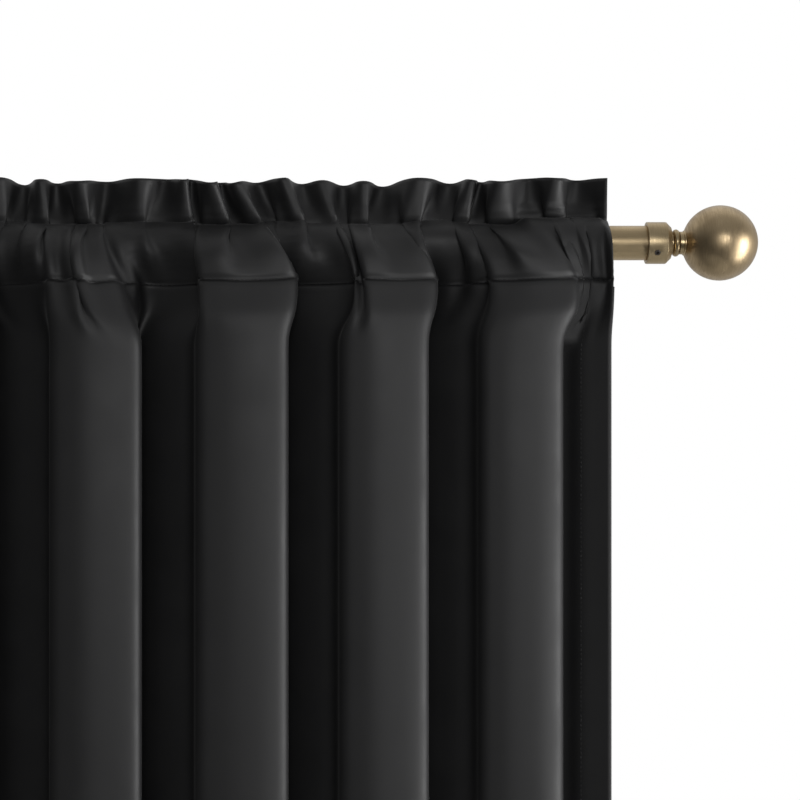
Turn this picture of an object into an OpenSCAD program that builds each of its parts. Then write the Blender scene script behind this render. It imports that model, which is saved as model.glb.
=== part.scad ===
// A pair of rod-pocket curtain panels on a telescoping rod with ball finials, held by three
// adjustable wall brackets. The origin is the middle of the centre bracket's wall face.
// +X is to the right seen from the room, +Y points into the wall and +Z is up.

/* [Rod] */
// Outer diameter of the outer (right) tube
rod_d = 25.4; // [24:0.2:27]
// Outer diameter of the inner (left) tube
inner_rod_d = 22.2; // [20:0.2:22.4]
// Wall thickness of both tubes
tube_wall = 1.2; // [0.8:0.1:1.2]
// How far the tubes overlap in the middle
tube_overlap = 420; // [200:10:600]
// Distance from the wall to the rod's axis
projection = 90; // [86:1:110]

/* [Finials] */
// Outer diameter of the collar that slips over the rod's end
collar_d = 30.8; // [30.4:0.1:34]
// Length of the collar's straight part
collar_flat = 14.3; // [12:0.1:20]
// Length of the collar's chamfered, closed end
collar_chamfer = 3.6; // [2:0.1:5]
// Diameter of the neck between collar and ball
neck_d = 17; // [15:0.5:19]
// Diameter of the bead round the neck
bead_d = 20; // [19.5:0.1:24]
// Diameter of the ball
ball_d = 55.4; // [45:0.2:70]
// Wall thickness of the hollow ball
ball_wall = 1.5; // [1:0.1:3]
// How far below the level line the set screw sits, in degrees round the collar
set_screw_angle = 33; // [0:1:60]

/* [Curtains] */
// Hung width of one panel
panel_w = 660; // [600:5:700]
// Length of a panel from the top of its heading to its bottom hem
panel_length = 1600; // [900:10:2700]
// Distance of each panel's leading edge from the middle
middle_gap = 12; // [11:1:30]
// Number of folds in a panel
fold_count = 6; // [5:1:7]
// Width of the flat strip outside the last fold
edge_w = 35; // [30:1:45]
// How far a fold stands out in front of the rod's axis
fold_front = 45; // [40:1:60]
// Height of the heading's top above the rod's axis
heading_top = 48; // [40:1:60]
// Height of the pocket's upper stitch line above the rod's axis
pocket_top = 13; // [10:1:16]
// Depth of the pocket's lower stitch line below the rod's axis
pocket_bottom = 30; // [24:1:40]
// Thickness that stands for the doubled blackout cloth
cloth_t = 1.5; // [1:0.1:2]

/* [Brackets] */
// Width of a wall plate
plate_w = 22; // [20:1:30]
// Height of a wall plate
plate_h = 64; // [60:1:80]
// Thickness of a wall plate
plate_t = 3; // [2:0.5:4]
// Distance between a wall plate's two screw holes
hole_spacing = 44; // [40:1:48]
// Diameter of the screw holes
hole_d = 5; // [4:0.1:5.4]
// Width of the cradle along the rod
cradle_w = 16; // [14:1:18]

/* [Hidden] */
$fn = 64;
SIDES = ["right", "left"];
PLACES = ["centre", "right", "left"];
FINIAL_PIECES = ["finial_collar", "finial_neck", "finial_ball", "finial_stud", "set_screw"];
BRACKET_PIECES = ["wall_plate", "arm_sleeve", "arm", "cradle", "lock_screw", "thumb_screw"];

rod_r = rod_d / 2;
inner_rod_r = inner_rod_d / 2;
eps = 0.05;               // clearance of screws, studs and collars
sink = 2;                 // how far joined cloth pieces run into each other
nest_gap = 2;             // height between a bunch and the neighbour's back that passes under it

// The panel's outer edge, and what is set out from it
panel_edge = middle_gap + panel_w;
collar_start = panel_edge + 26.7;
collar_len = collar_flat + collar_chamfer;
tube_end = collar_start + collar_flat - 1;
bracket_x = panel_edge - 17;

// Bracket: the arm's axis is at the plate's middle, and the cradle stands on the arm
arm_w = 14;
arm_h = 6;
arm_play = 0.2;
arm_back = -16;
sleeve_wall = 1.8;
sleeve_end = -58;
cradle_play = 0.2;
cradle_wall = 3;
cradle_r = rod_r + cradle_play + cradle_wall;
cradle_lip = 6;
foot_w = 14;
rod_y = -projection;
rod_z = arm_h / 2 + cradle_r;
arm_front = rod_y - foot_w / 2;
screw_r = 2;
lock_y = -50;
boss_r = 4;
boss_h = 4;
knob_gap = 0.3;
knob_h = 6;
knob_r = 5;

// Finial
stud_r = 3;
groove_len = 1.6;
groove_r = 7;
bead_len = 4.9;
neck_end = 11;
ball_x = collar_len + 8.9 + ball_d / 2;
socket_r = 1.1;
set_screw_x = 6.5;

// Fold, seen from above: x runs from the fold's front tip towards the middle of the window,
// y from the rod's axis. The front face slopes back, so that folds nest when they are drawn.
pitch = (panel_w - edge_w) / fold_count;
bunch_w = 39;
bunch_start = 5;
bunch_back = 15;
neck_t = 4;
pocket_r = rod_r + 0.6;
face_slope = 0.46;
face_end = 0.48 * pitch;
edge_y = -19;
drop_h = panel_length - heading_top - pocket_bottom - nest_gap;

function face_y(x) = -fold_front + face_slope * x;

FACE = [[0, -fold_front], [face_end, face_y(face_end)]];
BACK = [[0.63 * pitch, 4], [pitch - 1.2, 6]];
EDGE = [[-edge_w, edge_y], [8, edge_y]];

// Points of a strip of thickness t along a path, with mitred corners
function unit(v) = v / norm(v);
function side_of(a, b) = let (d = unit(b - a)) [-d.y, d.x];
function corner(path, i) = let (
    last = len(path) - 1,
    n1 = side_of(path[max(i, 1) - 1], path[max(i, 1)]),
    n2 = side_of(path[min(i, last - 1)], path[min(i, last - 1) + 1]),
    n = unit(n1 + n2)
) n / max(n * n1, 0.5);
function strip(path, t) = concat(
    [for (i = [0:len(path) - 1]) path[i] + corner(path, i) * t / 2],
    [for (i = [len(path) - 1:-1:0]) path[i] - corner(path, i) * t / 2]
);

// ---- Placing ----

module on_rod(x) {
    translate([x, rod_y, rod_z]) rotate([0, 90, 0]) children();
}

module sided(side) {
    mirror([side == "left" ? 1 : 0, 0, 0]) children();
}

function place_x(place) = place == "right" ? bracket_x : place == "left" ? -bracket_x : 0;
function held_r(place) = place == "left" ? inner_rod_r : rod_r;
function tube_r(side) = side == "left" ? inner_rod_r : rod_r;

// ---- Rod ----

module tube(x0, x1, r) {
    on_rod(x0) difference() {
        cylinder(h = x1 - x0, r = r);
        translate([0, 0, -1]) cylinder(h = x1 - x0 + 2, r = r - tube_wall);
    }
}

module outer_tube() {
    color("darkgoldenrod") tube(-tube_overlap / 2, tube_end, rod_r);
}

module inner_tube() {
    color("goldenrod") tube(-tube_end, tube_overlap / 2, inner_rod_r);
}

// ---- Finials ----

module set_screw_axis(side) {
    sided(side) translate([collar_start + set_screw_x, rod_y, rod_z])
        rotate([90 + set_screw_angle, 0, 0]) children();
}

module finial_collar(side) {
    color("darkgoldenrod") difference() {
        sided(side) on_rod(collar_start) difference() {
            rotate_extrude() polygon([
                [0, 0], [collar_d / 2, 0], [collar_d / 2, collar_flat],
                [collar_d / 2 - collar_chamfer, collar_len], [0, collar_len]
            ]);
            translate([0, 0, -1]) cylinder(h = collar_flat + 1, r = tube_r(side) + eps);
            cylinder(h = collar_len + 1, r = stud_r + eps);
        }
        set_screw_axis(side) cylinder(h = collar_d, r = screw_r + eps);
    }
}

module finial_neck(side) {
    color("goldenrod") sided(side) on_rod(collar_start + collar_len) difference() {
        union() {
            cylinder(h = groove_len, r = groove_r);
            translate([0, 0, groove_len]) cylinder(h = neck_end - groove_len, r = neck_d / 2);
            translate([0, 0, groove_len + bead_len / 2]) rotate_extrude()
                translate([bead_d / 2 - bead_len / 2, 0]) circle(d = bead_len);
        }
        translate([0, 0, -1]) cylinder(h = neck_end + 2, r = stud_r + eps);
        translate([0, 0, ball_x - collar_len]) sphere(d = ball_d + 2 * eps);
    }
}

module finial_ball(side) {
    color("goldenrod") sided(side) on_rod(collar_start + ball_x) difference() {
        sphere(d = ball_d);
        sphere(d = ball_d - 2 * ball_wall);
        translate([0, 0, -ball_d / 2 - 1]) cylinder(h = ball_d / 2, r = stud_r + eps);
    }
}

module finial_stud(side) {
    color("silver") sided(side) on_rod(collar_start + collar_flat + 0.5)
        cylinder(h = ball_x - collar_flat - ball_d / 2 + 6, r = stud_r);
}

module set_screw(side) {
    tip = tube_r(side) + eps;
    head = collar_d / 2 + 0.3;
    color("dimgray") set_screw_axis(side) difference() {
        translate([0, 0, tip]) cylinder(h = head - tip, r = screw_r);
        translate([0, 0, head - 1.5]) cylinder(h = 2, r = socket_r, $fn = 6);
    }
}

// ---- Brackets ----

module wall_plate() {
    round_r = plate_w / 2;
    reach = plate_h / 2 - round_r;
    color("peru") rotate([90, 0, 0]) difference() {
        union() {
            translate([-round_r, -reach, 0]) cube([plate_w, 2 * reach, plate_t]);
            for (s = [-1, 1]) translate([0, s * reach, 0]) cylinder(h = plate_t, r = round_r);
        }
        for (s = [-1, 1]) translate([0, s * hole_spacing / 2, -1])
            cylinder(h = plate_t + 2, d = hole_d);
    }
}

module arm_sleeve() {
    bore_w = arm_w + 2 * arm_play;
    bore_h = arm_h + 2 * arm_play;
    outer_w = bore_w + 2 * sleeve_wall;
    outer_h = bore_h + 2 * sleeve_wall;
    color("sienna") difference() {
        union() {
            translate([-outer_w / 2, sleeve_end, -outer_h / 2])
                cube([outer_w, -plate_t - sleeve_end, outer_h]);
            translate([0, lock_y, -outer_h / 2 - boss_h]) cylinder(h = boss_h + 1, r = boss_r);
        }
        translate([-bore_w / 2, sleeve_end - 1, -bore_h / 2])
            cube([bore_w, -plate_t - sleeve_end + 2, bore_h]);
        translate([0, lock_y, -outer_h / 2 - boss_h - 1])
            cylinder(h = boss_h + sleeve_wall + 2, r = screw_r + eps);
    }
}

module arm() {
    color("chocolate") difference() {
        translate([-arm_w / 2, arm_front, -arm_h / 2]) cube([arm_w, arm_back - arm_front, arm_h]);
        translate([0, rod_y, -arm_h]) cylinder(h = 2 * arm_h, r = screw_r + eps);
    }
}

module cradle() {
    inner = rod_r + cradle_play;
    color("peru") translate([0, rod_y, rod_z]) difference() {
        union() {
            translate([-cradle_w / 2, 0, 0]) rotate([0, 90, 0]) cylinder(h = cradle_w, r = cradle_r);
            translate([-cradle_w / 2, -cradle_r, 0]) cube([cradle_w, 2 * cradle_r, cradle_lip]);
            translate([-cradle_w / 2, -foot_w / 2, -cradle_r]) cube([cradle_w, foot_w, cradle_wall]);
        }
        translate([-cradle_w, 0, 0]) rotate([0, 90, 0]) cylinder(h = 2 * cradle_w, r = inner);
        translate([-cradle_w, -inner, 0]) cube([2 * cradle_w, 2 * inner, 2 * cradle_r]);
        translate([0, 0, -cradle_r - 1]) cylinder(h = cradle_wall + 4, r = screw_r + eps);
    }
}

module lock_screw() {
    top = -arm_h / 2 - eps;
    knob_top = -arm_h / 2 - arm_play - sleeve_wall - boss_h - knob_gap;
    color("dimgray") translate([0, lock_y, 0]) {
        translate([0, 0, knob_top - 1]) cylinder(h = top - knob_top + 1, r = screw_r);
        translate([0, 0, knob_top - knob_h]) cylinder(h = knob_h, r = knob_r);
    }
}

module thumb_screw(tube) {
    top = rod_z - tube - eps;
    knob_top = -arm_h / 2 - knob_gap;
    color("dimgray") translate([0, rod_y, 0]) {
        translate([0, 0, knob_top - 1]) cylinder(h = top - knob_top + 1, r = screw_r);
        translate([0, 0, knob_top - knob_h]) cylinder(h = knob_h, r = knob_r);
    }
}

// ---- Curtains ----

// One fold of a panel: its drop, the cloth bunched round the rod and the heading above
module fold_body(outermost) {
    bunch_end = bunch_start + bunch_w;
    drop_line = outermost ? concat(EDGE, FACE, BACK) : concat(FACE, BACK);
    difference() {
        union() {
            translate([0, 0, heading_top - panel_length])
                linear_extrude(drop_h) polygon(strip(drop_line, cloth_t));
            translate([0, 0, -pocket_bottom]) linear_extrude(pocket_bottom + pocket_top)
                polygon([
                    [bunch_start, face_y(bunch_start)], [bunch_end, face_y(bunch_end)],
                    [bunch_end, bunch_back], [bunch_start, bunch_back]
                ]);
            translate([0, 0, -pocket_bottom - nest_gap - sink]) linear_extrude(nest_gap + 2 * sink)
                polygon([
                    [bunch_start + 1, face_y(bunch_start + 1)], [bunch_end - 1, face_y(bunch_end - 1)],
                    [bunch_end - 1, face_y(bunch_end - 1) + neck_t],
                    [bunch_start + 1, face_y(bunch_start + 1) + neck_t]
                ]);
            translate([0, 0, pocket_top - 1]) linear_extrude(heading_top - pocket_top + 1)
                polygon(strip([[bunch_start + 1, -10], [bunch_end - 1, 8]], cloth_t));
            if (outermost) translate([0, 0, -pocket_bottom - nest_gap - sink])
                linear_extrude(pocket_bottom + nest_gap + sink + heading_top)
                polygon(strip(EDGE, cloth_t));
        }
        translate([-edge_w, 0, 0]) rotate([0, 90, 0]) cylinder(h = 2 * pitch, r = pocket_r);
    }
}

// Fold k of a panel, counted from the panel's outer edge
module fold(side, k) {
    tip_x = panel_edge - edge_w - (k - 1) * pitch;
    color("dimgray") sided(side) translate([tip_x, rod_y, rod_z])
        mirror([1, 0, 0]) fold_body(k == 1);
}

outer_tube();
inner_tube();
for (side = SIDES) {
    finial_collar(side);
    finial_neck(side);
    finial_ball(side);
    finial_stud(side);
    set_screw(side);
    for (k = [1:fold_count]) fold(side, k);
}
for (place = PLACES) translate([place_x(place), 0, 0]) {
    wall_plate();
    arm_sleeve();
    arm();
    cradle();
    lock_screw();
    thumb_screw(held_r(place));
}
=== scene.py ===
"""A pair of rod-pocket blackout curtains on a telescoping rod with ball finials.

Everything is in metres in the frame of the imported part: the middle of the centre bracket's
wall face is the origin, +X is to the right seen from the room and +Z is up.
"""

from __future__ import annotations

import logging
import math
from collections.abc import Callable, Sequence
from dataclasses import dataclass, field
from enum import Enum

import bpy
import numpy as np
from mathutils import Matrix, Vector


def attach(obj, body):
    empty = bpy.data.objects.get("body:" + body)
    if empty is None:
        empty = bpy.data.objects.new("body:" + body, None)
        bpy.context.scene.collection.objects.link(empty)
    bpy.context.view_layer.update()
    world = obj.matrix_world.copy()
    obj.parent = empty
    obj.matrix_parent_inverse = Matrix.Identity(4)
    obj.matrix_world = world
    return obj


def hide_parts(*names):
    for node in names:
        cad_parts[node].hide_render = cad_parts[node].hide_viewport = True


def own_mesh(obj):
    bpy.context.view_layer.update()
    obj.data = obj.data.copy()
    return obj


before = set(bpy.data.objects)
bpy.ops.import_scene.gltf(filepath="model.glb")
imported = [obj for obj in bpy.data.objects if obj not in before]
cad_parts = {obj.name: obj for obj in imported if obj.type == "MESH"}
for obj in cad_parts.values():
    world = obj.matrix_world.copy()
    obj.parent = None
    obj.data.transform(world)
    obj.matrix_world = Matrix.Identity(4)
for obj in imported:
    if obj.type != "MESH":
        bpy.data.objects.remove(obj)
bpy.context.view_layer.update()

LOG = logging.getLogger("curtains")
MM = 0.001
ROD_Y = -0.090
ROD_Z = 0.0189
UP = Vector((0, 0, 1))
OUT = Vector((0, -1, 0))
ALONG = Vector((1, 0, 0))
Ring = tuple[float, float]
Colour = tuple[float, float, float]


class Side(Enum):
    """Which end of the rod a piece belongs to, with the sign of its X."""

    RIGHT = 1
    LEFT = -1

    @property
    def word(self) -> str:
        """The side's name as the CAD nodes have it."""
        return self.name.lower()


class Place(Enum):
    """Where a bracket stands along the rod, in metres."""

    CENTRE = 0.0
    RIGHT = 0.655
    LEFT = -0.655

    @property
    def word(self) -> str:
        """The place's name as the CAD nodes have it."""
        return self.name.lower()


class Grain(Enum):
    """The way the fine lines run on a brushed metal, as noise scales per metre along X, Y, Z."""

    DRAWN = (30.0, 2600.0, 2600.0)
    TURNED = (2300.0, 90.0, 90.0)
    SATIN = (900.0, 900.0, 120.0)


# ---- Modelling by hand ----


def deselect() -> None:
    """Leaves nothing selected, so that an operator acts only on what is picked next."""
    if bpy.context.object and bpy.context.object.mode != "OBJECT":
        bpy.ops.object.mode_set(mode="OBJECT")
    bpy.ops.object.select_all(action="DESELECT")


def pick(piece: bpy.types.Object) -> None:
    """Makes a piece the only selected one, and active.

    Args:
        piece: The piece to work on.
    """
    deselect()
    piece.select_set(True)
    bpy.context.view_layer.objects.active = piece


def settle(piece: bpy.types.Object) -> None:
    """Puts a piece's place, turn and scale into its mesh.

    Args:
        piece: The piece, whose object then sits at the origin.
    """
    pick(piece)
    bpy.ops.object.transform_apply(location=True, rotation=True, scale=True)


def select(piece: bpy.types.Object, kind: str, wanted: Callable[[object], bool]) -> None:
    """Goes into edit mode with just the wanted points, edges or faces selected.

    Args:
        piece: The piece to edit.
        kind: VERT, EDGE or FACE.
        wanted: Says whether one of them is picked.
    """
    pick(piece)
    bpy.ops.object.mode_set(mode="EDIT")
    bpy.ops.mesh.select_all(action="DESELECT")
    bpy.ops.mesh.select_mode(type=kind)
    bpy.ops.object.mode_set(mode="OBJECT")
    parts = {"VERT": piece.data.vertices, "EDGE": piece.data.edges, "FACE": piece.data.polygons}
    for part in parts[kind]:
        part.select = wanted(part)
    bpy.ops.object.mode_set(mode="EDIT")


def add_modifier(piece: bpy.types.Object, kind: str, **settings: object) -> None:
    """Adds a modifier and applies it at once.

    Args:
        piece: The piece to change.
        kind: The modifier's type, such as BEVEL.
        **settings: The modifier's own settings.
    """
    pick(piece)
    modifier = piece.modifiers.new(kind.title(), kind)
    for name, value in settings.items():
        setattr(modifier, name, value)
    bpy.ops.object.modifier_apply(modifier=modifier.name)


def soften(piece: bpy.types.Object, width: float, segments: int = 2, angle: float = 35.0) -> None:
    """Rounds a piece's sharp edges a little, as on real pressed or turned metal.

    Args:
        piece: The piece to round.
        width: The width of the round, in metres.
        segments: How many flats make the round.
        angle: Edges sharper than this many degrees are rounded.
    """
    add_modifier(piece, "BEVEL", width=width, segments=segments, limit_method="ANGLE",
                 angle_limit=math.radians(angle), harden_normals=False)


def shade(piece: bpy.types.Object, angle: float = 32.0) -> None:
    """Shades a piece smooth, except across its sharp edges.

    Args:
        piece: The piece to shade.
        angle: Edges sharper than this many degrees stay crisp.
    """
    pick(piece)
    bpy.ops.object.shade_smooth_by_angle(angle=math.radians(angle))


def outward(piece: bpy.types.Object) -> None:
    """Merges doubled points and turns all faces outwards.

    Args:
        piece: The piece to clean.
    """
    pick(piece)
    bpy.ops.object.mode_set(mode="EDIT")
    bpy.ops.mesh.select_all(action="SELECT")
    bpy.ops.mesh.remove_doubles(threshold=1e-6)
    bpy.ops.mesh.normals_make_consistent(inside=False)
    bpy.ops.object.mode_set(mode="OBJECT")


def carve(piece: bpy.types.Object, tool: bpy.types.Object, operation: str = "DIFFERENCE") -> None:
    """Cuts one solid out of another, or joins it on, and throws the tool away.

    Args:
        piece: The solid that stays.
        tool: The solid that is taken away or added.
        operation: DIFFERENCE to cut or UNION to join.
    """
    add_modifier(piece, "BOOLEAN", operation=operation, object=tool, solver="EXACT")
    bpy.data.objects.remove(tool)


def drill(piece: bpy.types.Object, radius: float, start: Sequence[float], axis: Vector,
          length: float, sides: int = 24) -> None:
    """Drills a hole from a point along an axis.

    Args:
        piece: The solid to drill.
        radius: The hole's radius.
        start: Where the drill starts.
        axis: The direction it goes in.
        length: How far it goes.
        sides: How many sides the hole has.
    """
    carve(piece, drum("drill", radius, start, axis, length, sides=sides))


def block(name: str, low: Sequence[float], high: Sequence[float]) -> bpy.types.Object:
    """A box between two corners.

    Args:
        name: The piece's name.
        low: The lowest corner.
        high: The highest corner.

    Returns:
        The new piece.
    """
    deselect()
    middle = [(a + b) / 2 for a, b in zip(low, high)]
    bpy.ops.mesh.primitive_cube_add(size=1, location=middle)
    piece = bpy.context.object
    piece.name = name
    piece.scale = [b - a for a, b in zip(low, high)]
    settle(piece)
    return piece


def drum(name: str, radius: float, start: Sequence[float], axis: Vector, length: float,
         sides: int = 48, open_ends: bool = False) -> bpy.types.Object:
    """A cylinder from a point along an axis.

    Args:
        name: The piece's name.
        radius: Its radius.
        start: The middle of its first end.
        axis: The direction it runs in.
        length: How far it runs.
        sides: How many sides it has.
        open_ends: Whether it has no end faces.

    Returns:
        The new piece.
    """
    deselect()
    axis = axis.normalized()
    middle = Vector(start) + axis * length / 2
    turn = axis.to_track_quat("Z", "Y").to_euler()
    fill = "NOTHING" if open_ends else "NGON"
    bpy.ops.mesh.primitive_cylinder_add(vertices=sides, radius=radius, depth=length,
                                        location=middle, rotation=turn, end_fill_type=fill)
    piece = bpy.context.object
    piece.name = name
    settle(piece)
    return piece


def turned(name: str, rings: Sequence[Ring], origin: Sequence[float], axis: Vector,
           sides: int = 96) -> bpy.types.Object:
    """A piece turned round an axis, extruded ring by ring from a disc.

    Args:
        name: The piece's name.
        rings: Distance along the axis and radius of each ring, both ends closed.
        origin: The point where the distances start.
        axis: The direction in which they run.
        sides: How many sides a ring has.

    Returns:
        The new piece.
    """
    deselect()
    bpy.ops.mesh.primitive_circle_add(vertices=sides, radius=rings[0][1], fill_type="NGON",
                                      location=(0, 0, rings[0][0]))
    piece = bpy.context.object
    piece.name = name
    settle(piece)
    bpy.ops.object.mode_set(mode="EDIT")
    bpy.ops.mesh.select_all(action="SELECT")
    for (z0, r0), (z1, r1) in zip(rings, rings[1:]):
        bpy.ops.mesh.extrude_region_move(TRANSFORM_OT_translate={"value": (0, 0, z1 - z0)})
        scale = r1 / r0
        bpy.ops.transform.resize(value=(scale, scale, 1), center_override=(0, 0, 0))
    bpy.ops.object.mode_set(mode="OBJECT")
    outward(piece)
    piece.rotation_euler = axis.normalized().to_track_quat("Z", "Y").to_euler()
    piece.location = origin
    settle(piece)
    return piece


def arc(centre: Ring, radius: float, first: float, last: float, steps: int) -> list[Ring]:
    """Rings along a round, for a turned piece.

    Args:
        centre: Distance and radius of the round's middle.
        radius: The round's radius.
        first: The angle it starts at, in degrees from the axis.
        last: The angle it ends at.
        steps: How many steps it takes.

    Returns:
        The rings, both ends included.
    """
    angles = np.radians(np.linspace(first, last, steps + 1))
    return [(centre[0] + radius * math.cos(a), centre[1] + radius * math.sin(a)) for a in angles]


# ---- Finishes ----


class Nodes:
    """A short way to place and join the nodes of a material or a node group."""

    def __init__(self, tree: bpy.types.NodeTree) -> None:
        """Starts on a tree.

        Args:
            tree: The node tree to build in.
        """
        self.tree = tree

    def add(self, kind: str, values: dict[str | int, object] | None = None,
            **settings: object) -> bpy.types.Node:
        """Adds a node.

        Args:
            kind: The node's type without its Shader prefix.
            values: What its input sockets hold or are linked from.
            **settings: The node's own settings.

        Returns:
            The new node.
        """
        node = self.tree.nodes.new(kind if kind.startswith("Node") else f"ShaderNode{kind}")
        for name, value in settings.items():
            setattr(node, name, value)
        for name, value in (values or {}).items():
            socket = node.inputs[name]
            if isinstance(value, bpy.types.NodeSocket):
                self.tree.links.new(value, socket)
            else:
                socket.default_value = value
        return node

    def maths(self, operation: str, *values: object) -> bpy.types.NodeSocket:
        """A Math node's result.

        Args:
            operation: What it works out.
            *values: Numbers or sockets, in order.

        Returns:
            Its output socket.
        """
        return self.add("Math", dict(enumerate(values)), operation=operation).outputs[0]

    def spread(self, value: bpy.types.NodeSocket, low: float, high: float,
               to_low: float = 0.0, to_high: float = 1.0) -> bpy.types.NodeSocket:
        """Stretches a range of a value to another range, clamped.

        Args:
            value: The socket to read.
            low: The range's lower end.
            high: The range's upper end.
            to_low: What low becomes.
            to_high: What high becomes.

        Returns:
            The output socket.
        """
        node = self.add("MapRange", {0: value, 1: low, 2: high, 3: to_low, 4: to_high})
        return node.outputs[0]

    def blend(self, share: object, first: object, second: object) -> bpy.types.NodeSocket:
        """Mixes two colours.

        Args:
            share: How much of the second.
            first: A colour or socket.
            second: A colour or socket.

        Returns:
            The mixed colour's socket.
        """
        node = self.add("Mix", {0: share, 6: first, 7: second}, data_type="RGBA")
        return node.outputs[2]


def new_group(name: str, inputs: dict[str, float], outputs: dict[str, str]) -> Nodes:
    """Starts a shader node group with named sockets.

    Args:
        name: The group's name.
        inputs: Each input's name and usual value.
        outputs: Each output's name and socket type.

    Returns:
        The builder for the group's tree.
    """
    tree = bpy.data.node_groups.new(name, "ShaderNodeTree")
    for label, value in inputs.items():
        socket = tree.interface.new_socket(label, in_out="INPUT", socket_type="NodeSocketFloat")
        socket.default_value = value
    for label, kind in outputs.items():
        tree.interface.new_socket(label, in_out="OUTPUT", socket_type=kind)
    return Nodes(tree)


def weave_group() -> bpy.types.NodeTree:
    """A plain weave of fine threads, laid along the cloth's own width and length.

    Returns:
        The group, whose outputs are the thread's height and a shade that differs from yarn to yarn.
    """
    n = new_group("plain_weave", {"Thread Pitch": 0.0004, "Slub": 0.5},
                  {"Height": "NodeSocketFloat", "Yarn": "NodeSocketFloat"})
    given = n.add("NodeGroupInput").outputs
    along = n.add("SeparateXYZ", {0: n.add("UVMap", uv_map="cloth").outputs[0]}).outputs
    u = n.maths("DIVIDE", along[0], given["Thread Pitch"])
    v = n.maths("DIVIDE", along[1], given["Thread Pitch"])
    warp = n.maths("ABSOLUTE", n.maths("SINE", n.maths("MULTIPLY", u, math.pi)))
    weft = n.maths("ABSOLUTE", n.maths("SINE", n.maths("MULTIPLY", v, math.pi)))
    over = n.maths("ADD", n.maths("FLOOR", u), n.maths("FLOOR", v))
    over = n.maths("PINGPONG", over, 1.0)
    warp_part = n.maths("MULTIPLY", warp, over)
    weft_part = n.maths("MULTIPLY", weft, n.maths("SUBTRACT", 1.0, over))
    height = n.maths("ADD", warp_part, weft_part)
    yarn_place = n.add("CombineXYZ", {0: n.maths("FLOOR", n.maths("MULTIPLY", along[0], 700.0)),
                                      1: n.maths("MULTIPLY", along[1], 9.0)}).outputs[0]
    yarn = n.add("TexNoise", {"Vector": yarn_place, "Scale": 0.37, "Detail": 1.0}).outputs[0]
    mixed = n.maths("MULTIPLY", n.maths("SUBTRACT", yarn, 0.5), given["Slub"])
    n.add("NodeGroupOutput", {"Height": height, "Yarn": n.maths("ADD", mixed, 0.5)})
    return n.tree


def brushed_group() -> bpy.types.NodeTree:
    """Fine lines of brushed metal, with broad uneven patina and rubbed edges.

    Returns:
        The group, whose outputs are the lines, the patina and the wear along edges.
    """
    n = new_group("brushed_patina", {"Along X": 30.0, "Along Y": 2600.0, "Along Z": 2600.0,
                                     "Patina Size": 45.0, "Edge Wear": 0.5},
                  dict.fromkeys(("Lines", "Patina", "Wear"), "NodeSocketFloat"))
    given = n.add("NodeGroupInput").outputs
    place = n.add("TexCoord").outputs["Object"]
    scales = n.add("CombineXYZ", {0: given["Along X"], 1: given["Along Y"], 2: given["Along Z"]})
    lined = n.add("VectorMath", {0: place, 1: scales.outputs[0]}, operation="MULTIPLY").outputs[0]
    lines = n.add("TexNoise", {"Vector": lined, "Scale": 1.0, "Detail": 4.0,
                               "Roughness": 0.62}).outputs[0]
    patina = n.add("TexNoise", {"Vector": place, "Scale": given["Patina Size"], "Detail": 5.0,
                                "Roughness": 0.6, "Distortion": 0.4}).outputs[0]
    edge = n.spread(n.add("NewGeometry").outputs["Pointiness"], 0.52, 0.62)
    rubbed = n.maths("MULTIPLY", edge, n.spread(patina, 0.35, 0.6))
    n.add("NodeGroupOutput", {"Lines": n.spread(lines, 0.3, 0.7), "Patina": n.spread(patina, 0.3, 0.7),
                              "Wear": n.maths("MULTIPLY", rubbed, given["Edge Wear"])})
    return n.tree


def dust_group() -> bpy.types.NodeTree:
    """Sparse specks of dust and lint, thicker where a surface faces up.

    Returns:
        The group, whose output is the mask of the specks.
    """
    n = new_group("dust", {"Amount": 0.3, "Size": 900.0}, {"Dust": "NodeSocketFloat"})
    given = n.add("NodeGroupInput").outputs
    place = n.add("TexCoord").outputs["Object"]
    specks = n.add("TexVoronoi", {"Vector": place, "Scale": given["Size"]}).outputs["Distance"]
    patches = n.add("TexNoise", {"Vector": place, "Scale": 60.0, "Detail": 3.0}).outputs[0]
    up = n.add("SeparateXYZ", {0: n.add("NewGeometry").outputs["Normal"]}).outputs[2]
    thick = n.spread(up, 0.0, 1.0, 0.25, 1.0)
    mask = n.maths("MULTIPLY", n.spread(specks, 0.22, 0.1), n.spread(patches, 0.5, 0.7))
    settled = n.maths("MULTIPLY", mask, thick)
    n.add("NodeGroupOutput", {"Dust": n.maths("MULTIPLY", settled, given["Amount"])})
    return n.tree


WEAVE = weave_group()
BRUSHED = brushed_group()
DUST = dust_group()


def rgba(colour: Colour) -> tuple[float, float, float, float]:
    """The colour with full alpha."""
    return (*colour, 1.0)


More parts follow.
